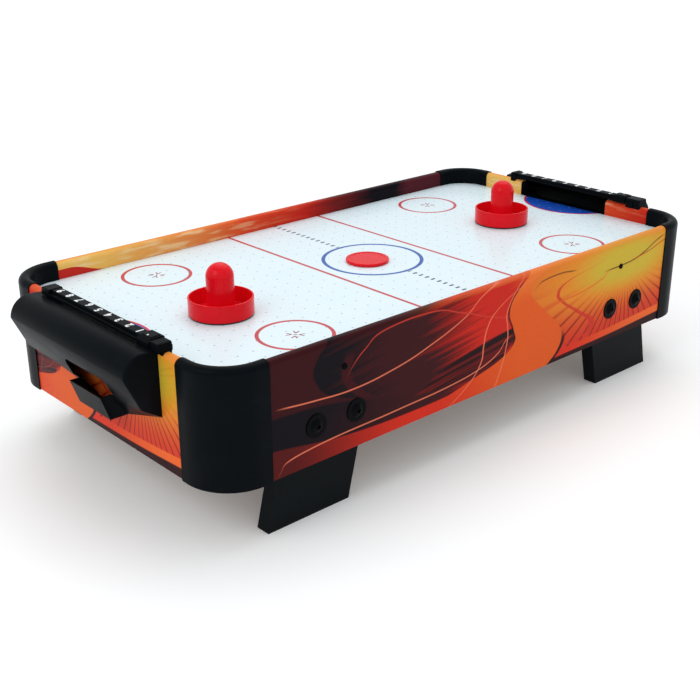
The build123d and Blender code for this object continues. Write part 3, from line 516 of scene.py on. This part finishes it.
def face_off_mark(across, away):
    """Four small chevrons that point at the middle of a face-off circle, and a dash in the middle."""
    a = abs(across + away) / math.sqrt(2)
    b = abs(across - away) / math.sqrt(2)
    marks = None
    for out, aside in ((a, b), (b, a)):
        arm = below(abs(aside - (out - CHEVRON_TIP) * 0.5), CHEVRON_HALF, FINE_EDGE)
        arm = arm * rise(out, CHEVRON_TIP - 2 * FINE_EDGE, CHEVRON_TIP) * below(out, CHEVRON_END, FINE_EDGE)
        marks = arm if marks is None else largest(marks, arm)
    dash = below(a, 0.0010, FINE_EDGE) * below(b, 0.0028, FINE_EDGE)
    return largest(marks, dash)


def off_row(place, pitch, shift):
    """How far a place is from the nearest row, in pitches; one row is shift pitches from the middle."""
    return abs(calc("FRACT", (place + pitch * (FAR_OFF + 0.5 - shift)) / pitch) - 0.5)


def white_laminate():
    """The field's white sheet with its printed markings, and bare board below it."""
    paint = Paint("white_laminate", Specular_IOR_Level=0.3)
    x, y = abs(paint.x), abs(paint.y)
    from_middle = length(paint.x, paint.y)
    circle = length(x - FACE_OFF[0], y - FACE_OFF[1])
    crease = length(x - CREASE_X, paint.y)
    cloudy = paint.noise(14.0)
    sheet = mix(cloudy, rgb(226, 243, 249), rgb(233, 247, 252))
    red_ink = largest(ring(circle, FACE_OFF_RADIUS, STROKE), ring(x, RED_LINE_X, STROKE))
    sheet = mix(red_ink * 0.96, sheet, rgb(200, 26, 38))
    sheet = mix(face_off_mark(x - FACE_OFF[0], y - FACE_OFF[1]), sheet, rgb(150, 26, 36))
    sheet = mix(ring(from_middle, CENTRE_RADIUS, CENTRE_STROKE), sheet, rgb(34, 88, 172))
    dash = below(off_row(paint.y, DASH_PITCH, 0.5), 0.17, 0.03) * below(x, DASH_HALF, INK_EDGE)
    dash = dash * above(y, CENTRE_RADIUS + DASH_START, 0.0005)
    sheet = mix(dash * 0.95, sheet, rgb(36, 52, 90))
    sheet = mix(below(crease, CREASE_RADIUS, INK_EDGE), sheet, rgb(212, 30, 70))
    sheet = mix(below(crease, CREASE_RADIUS - CREASE_STROKE, INK_EDGE), sheet, rgb(22, 76, 178))
    hole = length(*(off_row(place, HOLE_PITCH, 0) * HOLE_PITCH for place in (paint.x, paint.y)))
    # painted shade: a grey disc round each air hole
    sheet = mix(below(hole, HOLE_SHADE_RADIUS, 0.0005) * 0.45, sheet, rgb(150, 168, 184))
    bare = below(paint.z, FIELD_TOP - LAMINATE_THICK, 0.0001)
    paint.colour(mix(bare, sheet, fibre_colour(paint)))
    paint.roughness(0.22 + paint.noise(90.0) * 0.1 + bare * 0.4)
    paint.bump(paint.noise(500.0, detail=2.0), 0.00002)
    return paint.material


# ---------------------------------------------------------------- other materials
def black_plastic():
    """Moulded black plastic: a fine spark grain, slow changes of gloss and a few rubbed spots."""
    paint = Paint("black_plastic", Specular_IOR_Level=0.035)
    slow = paint.noise(22.0)
    grain = paint.noise(2600.0, detail=1.0)
    rubbed = rise(paint.noise(75.0, detail=6.0, stretch=(3.0, 1.0, 1.0)), 0.60, 0.72)
    paint.colour(mix(slow * 0.7 + rubbed * 0.3, rgb(5, 8, 11), rgb(13, 18, 23)))
    paint.roughness(0.30 + slow * 0.10 + rubbed * 0.06)
    paint.bump(grain + slow * 0.5, 0.00004)
    return paint.material


def black_board():
    """Fibreboard painted black: a thin skin over fibres, worn pale along the feet."""
    paint = Paint("black_board", Specular_IOR_Level=0.05)
    fibres = paint.noise(420.0, detail=5.0, stretch=(1.0, 1.0, 5.0))
    wear = rise(paint.noise(240.0, detail=6.0), 0.5, 0.62) * below(paint.z, 0.0016, 0.001)
    paint.colour(mix(wear * 0.6, mix(fibres, rgb(9, 13, 15), rgb(18, 23, 27)), rgb(80, 64, 50)))
    paint.roughness(0.36 + fibres * 0.2 + wear * 0.3)
    paint.bump(fibres, 0.00008)
    return paint.material


def black_steel():
    """Steel with a black finish, a little rubbed."""
    paint = Paint("black_steel", Specular_IOR_Level=0.03)
    spots = paint.noise(700.0, detail=4.0)
    rubbed = rise(paint.noise(300.0, detail=6.0), 0.62, 0.74)
    paint.colour(mix(rubbed * 0.4, rgb(8, 9, 11), rgb(46, 47, 50)))
    paint.roughness(0.24 + spots * 0.16)
    paint.bump(spots, 0.00003)
    return paint.material


def zinc_steel():
    """Zinc-plated steel: cloudy grey with fine brushing."""
    paint = Paint("zinc_steel", Metallic=1.0)
    cloud = paint.noise(130.0, detail=4.0)
    brush = paint.noise(900.0, detail=3.0, stretch=(1.0, 8.0, 1.0))
    paint.colour(ramp(cloud, [(0.3, rgb(150, 152, 156)), (0.6, rgb(196, 198, 200)),
                              (0.8, rgb(214, 210, 196))]))
    paint.roughness(0.24 + brush * 0.22)
    paint.bump(brush, 0.00003)
    return paint.material


def red_plastic():
    """Polished red plastic with slow flow marks and fine scuffs."""
    paint = Paint("red_plastic", Specular_IOR_Level=0.15, Subsurface_Weight=0.12, Subsurface_Scale=0.002)
    paint.shader.inputs["Subsurface Radius"].default_value = (1.0, 0.15, 0.12)
    flow = paint.noise(38.0, detail=2.0, stretch=(1.0, 1.0, 2.5))
    scuffs = rise(paint.noise(520.0, detail=6.0, stretch=(7.0, 1.0, 1.0)), 0.62, 0.75)
    paint.colour(mix(flow, rgb(222, 10, 26), rgb(240, 18, 34)))
    paint.roughness(0.17 + flow * 0.07 + scuffs * 0.16)
    paint.bump(paint.noise(160.0, detail=2.0) + scuffs * 0.3, 0.00003)
    return paint.material


def black_felt():
    """Short black felt: matted fibres with a pale bloom."""
    paint = Paint("black_felt", Specular_IOR_Level=0.2, Sheen_Weight=0.35, Sheen_Roughness=0.5)
    fibres = paint.noise(1500.0, detail=6.0, roughness=0.7)
    paint.colour(mix(fibres, rgb(10, 10, 12), rgb(44, 44, 48)))
    paint.roughness(0.85 + fibres * 0.1)
    paint.bump(fibres, 0.0004)
    return paint.material


def raw_wood():
    """Planed softwood: rings stretched along the grain."""
    paint = Paint("raw_wood", Specular_IOR_Level=0.35)
    warp = paint.noise(9.0, stretch=(6.0, 1.0, 1.0))
    rings = calc("FRACT", (paint.y + paint.z * 0.6 + warp * 0.05) * 150)
    grain = paint.noise(520.0, detail=5.0, stretch=(14.0, 1.0, 1.0))
    paint.colour(ramp(rings * 0.6 + grain * 0.4, [(0.2, rgb(206, 168, 116)), (0.55, rgb(188, 146, 94)),
                                                 (0.85, rgb(150, 108, 66))]))
    paint.roughness(0.6 + grain * 0.2)
    paint.bump(grain, 0.0001)
    return paint.material


def fibreboard():
    """Bare fibreboard all over."""
    paint = Paint("fibreboard", Specular_IOR_Level=0.3)
    paint.colour(fibre_colour(paint))
    paint.roughness(0.62 + paint.noise(400.0) * 0.2)
    paint.bump(paint.noise(1300.0, detail=4.0), 0.00012)
    return paint.material


def lead_sheath():
    """Soft PVC of the fan's lead: dull, with faint drag marks."""
    paint = Paint("lead_sheath", Specular_IOR_Level=0.4)
    drag = paint.noise(600.0, detail=3.0, stretch=(1.0, 6.0, 1.0))
    paint.colour(mix(drag, rgb(18, 18, 20), rgb(38, 38, 40)))
    paint.roughness(0.45 + drag * 0.2)
    paint.bump(drag, 0.00006)
    return paint.material


def white_ink():
    """White ink of the digits and dots, a little patchy."""
    paint = Paint("white_ink", Specular_IOR_Level=0.4)
    patchy = paint.noise(1400.0, detail=4.0)
    paint.colour(mix(patchy, rgb(226, 230, 232), rgb(250, 251, 252)))
    paint.roughness(0.4 + patchy * 0.15)
    paint.bump(patchy, 0.00002)
    return paint.material


SLOT_MATERIALS = {
    "black_plastic": black_plastic(),
    "white_laminate": white_laminate(),
    "raw_wood": raw_wood(),
    "fibreboard": fibreboard(),
    "black_board": black_board(),
    "black_steel": black_steel(),
    "zinc_steel": zinc_steel(),
    "red_plastic": red_plastic(),
    "black_felt": black_felt(),
    "lead_sheath": lead_sheath(),
}

END_SCALE = 1.28                   # the print on the short panels is squeezed lengthways
END_EDGE = (0.1867, 0.4275)        # a place on a short panel, and the matching place on a long one


def end_along(out):
    """Place along the print on a short panel, where out is the distance towards its right-hand end."""
    return (END_EDGE[1] - END_SCALE * (END_EDGE[0] - out) + HALF_LENGTH) / (2 * HALF_LENGTH)


def middle(box, axis):
    """Middle of a box along an axis."""
    return (box[0][axis] + box[1][axis]) / 2


PANEL_MATERIALS = {
    "side_panel_near": printed_board(
        "print_near",
        lambda p: (p.x + HALF_LENGTH) / (2 * HALF_LENGTH),
        lambda p: p.y - middle(NEAR_PANEL, 1),
        1.0, 1.0,
    ),
    "side_panel_far": printed_board(
        "print_far",
        lambda p: (HALF_LENGTH - p.x) / (2 * HALF_LENGTH),
        lambda p: middle(FAR_PANEL, 1) - p.y,
        1.0, 1.0,
    ),
    "end_panel_left": printed_board(
        "print_left",
        lambda p: end_along(0 - p.y),
        lambda p: p.x - middle(LEFT_PANEL, 0),
        0.15, 0.0,
    ),
    "end_panel_right": printed_board(
        "print_right",
        lambda p: end_along(p.y),
        lambda p: middle(RIGHT_PANEL, 0) - p.x,
        0.15, 0.0,
    ),
}

SLOTS = {part["node"]: part["material_slot"] for part in frame["record"]["subparts"]}


def material_of(node):
    """A panel's own print, or the material of the node's slot."""
    return PANEL_MATERIALS.get(node) or SLOT_MATERIALS[SLOTS[node]]


for name, node in frame["nodes"].items():
    node.data.materials.clear()
    node.data.materials.append(material_of(name))


# ---------------------------------------------------------------- pieces
def body_of(node):
    """Name of the body that a CAD node belongs to."""
    return next(body for body, nodes in frame["record"]["behaviour"]["bodies"].items() if node in nodes)


def linked(name, data):
    """New object in the scene."""
    thing = bpy.data.objects.new(name, data)
    bpy.context.scene.collection.objects.link(thing)
    return thing


def finished(sheet, name):
    """Mesh made from a bmesh, which is freed."""
    mesh = bpy.data.meshes.new(name)
    sheet.to_mesh(mesh)
    sheet.free()
    return mesh


def new_piece(name, mesh, material, body):
    """Object from a finished mesh, riding on a body."""
    mesh.materials.clear()
    mesh.materials.append(material)
    piece = linked(name, mesh)
    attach(piece, body)
    return piece


def digit_mesh(text):
    """Closed, thin mesh of one bold digit, centred, with its top towards +Y."""
    letters = bpy.data.curves.new("digit", "FONT")
    letters.body = text
    letters.size = FONT_SIZE
    letters.align_x = "CENTER"
    letters.align_y = "CENTER"
    letters.offset = DIGIT_BOLD
    letters.extrude = PRINT_THICK
    maker = linked("digit_maker", letters)
    graph = bpy.context.evaluated_depsgraph_get()
    mesh = bpy.data.meshes.new_from_object(maker.evaluated_get(graph))
    bpy.data.objects.remove(maker)
    return mesh


TURNED_DIGITS = {6: ("9", 1)}      # the font's own 6 doesn't close when it is made bold


def score_digits(name, rail, outwards):
    """White digits 1 to 9 printed on a score rail, with their tops towards the table's end."""
    sheet = bmesh.new()
    for number in range(1, 10):
        glyph, half_turns = TURNED_DIGITS.get(number, (str(number), 0))
        part = digit_mesh(glyph)
        turn = Matrix.Rotation(math.pi * (half_turns - outwards / 2), 4, "Z")
        place = Matrix.Translation((outwards * RIB_MIDDLE, (number - 5) * DIGIT_PITCH, RIB_TOP))
        part.transform(place @ turn)
        sheet.from_mesh(part)
        bpy.data.meshes.remove(part)
    bmesh.ops.remove_doubles(sheet, verts=sheet.verts, dist=MERGE)
    new_piece(name, finished(sheet, name), WHITE_INK, body_of(rail))


def rounded_ends(node):
    """Stand-in for a goal hood: the same mesh with the outer edges of its two ends rounded."""
    low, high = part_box(node)
    sheet = bmesh.new()
    sheet.from_mesh(frame["nodes"][node].data)
    bmesh.ops.remove_doubles(sheet, verts=sheet.verts, dist=MERGE)
    bmesh.ops.dissolve_limit(sheet, angle_limit=math.radians(0.5), verts=sheet.verts, edges=sheet.edges)

    def at_end(corner):
        outside = min(corner.co.y - low.y, high.y - corner.co.y) < NEAR_END
        return outside and abs(corner.co.x) > HALF_LENGTH + HOOD_FLAT

    rims = [e for e in sheet.edges if e.is_convex and e.calc_face_angle(0.0) > SHARP_ANGLE
            and all(at_end(corner) for corner in e.verts)]
    bmesh.ops.bevel(sheet, geom=rims, offset=HOOD_ROUND, segments=HOOD_STEPS, profile=0.5, affect="EDGES")
    bmesh.ops.triangulate(sheet, faces=[f for f in sheet.faces if len(f.verts) > 4])
    mesh = finished(sheet, node + "_rounded")
    mesh.shade_smooth()
    mesh.set_sharp_from_angle(angle=SHARP_ANGLE)
    piece = new_piece(node + "_rounded", mesh, material_of(node), body_of(node))
    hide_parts(node)


def pointer_dot(name, slider, outwards):
    """Domed white dot on top of a slider, beside the digits."""
    low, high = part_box(slider)
    place = (outwards * DOT_X, (low.y + high.y) / 2, high.z)
    sheet = bmesh.new()
    bmesh.ops.create_uvsphere(sheet, u_segments=24, v_segments=12, radius=DOT_RADIUS)
    for corner in sheet.verts:
        corner.co.z *= DOT_FLATTENING
        corner.co += Vector(place)
    mesh = finished(sheet, name)
    mesh.shade_smooth()
    new_piece(name, mesh, WHITE_INK, body_of(slider))


WHITE_INK = white_ink()
score_digits("score_digits_left", "score_rail_left", -1)
score_digits("score_digits_right", "score_rail_right", 1)
pointer_dot("pointer_dot_left", "score_slider_left", -1)
pointer_dot("pointer_dot_right", "score_slider_right", 1)
rounded_ends("goal_hood_left")
rounded_ends("goal_hood_right")


# ---------------------------------------------------------------- floor, light and camera
FLOOR_HALF = 20.0
SKY_COLOUR = (0.95, 0.985, 1.0, 1.0)
CAMERA_PLACE = (-1.1895, -1.2621, 0.7881)
CAMERA_AZIMUTH = math.radians(42.08)         # from +Y towards +X
CAMERA_ELEVATION = math.radians(22.65)       # how far the camera looks down
CAMERA_ROLL = math.radians(-0.23)


def floor():
    """Wide, plain, nearly white floor."""
    paint = Paint("floor", Specular_IOR_Level=0.05, Emission_Strength=0.10)
    paint.shader.inputs["Emission Color"].default_value = (1.0, 1.0, 1.0, 1.0)
    paint.colour(mix(paint.noise(3.0), rgb(250, 250, 251), rgb(253, 253, 253)))
    paint.roughness(0.85 + paint.noise(40.0) * 0.1)
    sheet = bmesh.new()
    bmesh.ops.create_grid(sheet, x_segments=8, y_segments=8, size=FLOOR_HALF)
    mesh = finished(sheet, "floor")
    mesh.materials.append(paint.material)
    linked("floor", mesh)


def sky(strength):
    """Even light from all round."""
    world = bpy.data.worlds.new("studio")
    world.use_nodes = True
    background = world.node_tree.nodes["Background"]
    background.inputs["Color"].default_value = SKY_COLOUR
    background.inputs["Strength"].default_value = strength
    bpy.context.scene.world = world


def soft_sun(direction, angle, strength):
    """Distant light that falls along a direction, as wide as a bright cloud."""
    lamp = bpy.data.lights.new("sun", "SUN")
    lamp.angle = math.radians(angle)
    lamp.energy = strength
    linked("sun", lamp).rotation_euler = Vector(direction).to_track_quat("-Z", "Y").to_euler()


def soft_box(name, place, target, size, power):
    """Square area light that faces its target."""
    lamp = bpy.data.lights.new(name, "AREA")
    lamp.size = size
    lamp.energy = power
    light = linked(name, lamp)
    light.location = place
    light.rotation_euler = (Vector(target) - Vector(place)).to_track_quat("-Z", "Y").to_euler()


def camera():
    """Camera in front of the left end, looking down on the table."""
    level = math.cos(CAMERA_ELEVATION)
    look = Vector((math.sin(CAMERA_AZIMUTH) * level, math.cos(CAMERA_AZIMUTH) * level,
                   -math.sin(CAMERA_ELEVATION)))
    turn = look.to_track_quat("-Z", "Y").to_matrix() @ Matrix.Rotation(CAMERA_ROLL, 3, "Z")
    data = bpy.data.cameras.new("camera")
    data.lens = 57.44
    data.sensor_width = 36.0
    eye = linked("camera", data)
    eye.location = CAMERA_PLACE
    eye.rotation_euler = turn.to_euler()
    bpy.context.scene.camera = eye


floor()
sky(0.74)
soft_sun((-0.45, -0.30, -1.0), 60.0, 0.95)
soft_box("left_box", (-2.0, -0.2, 1.6), (0.0, 0.0, 0.2), 1.2, 9.0)
camera()
bpy.context.scene.view_settings.view_transform = "Standard"
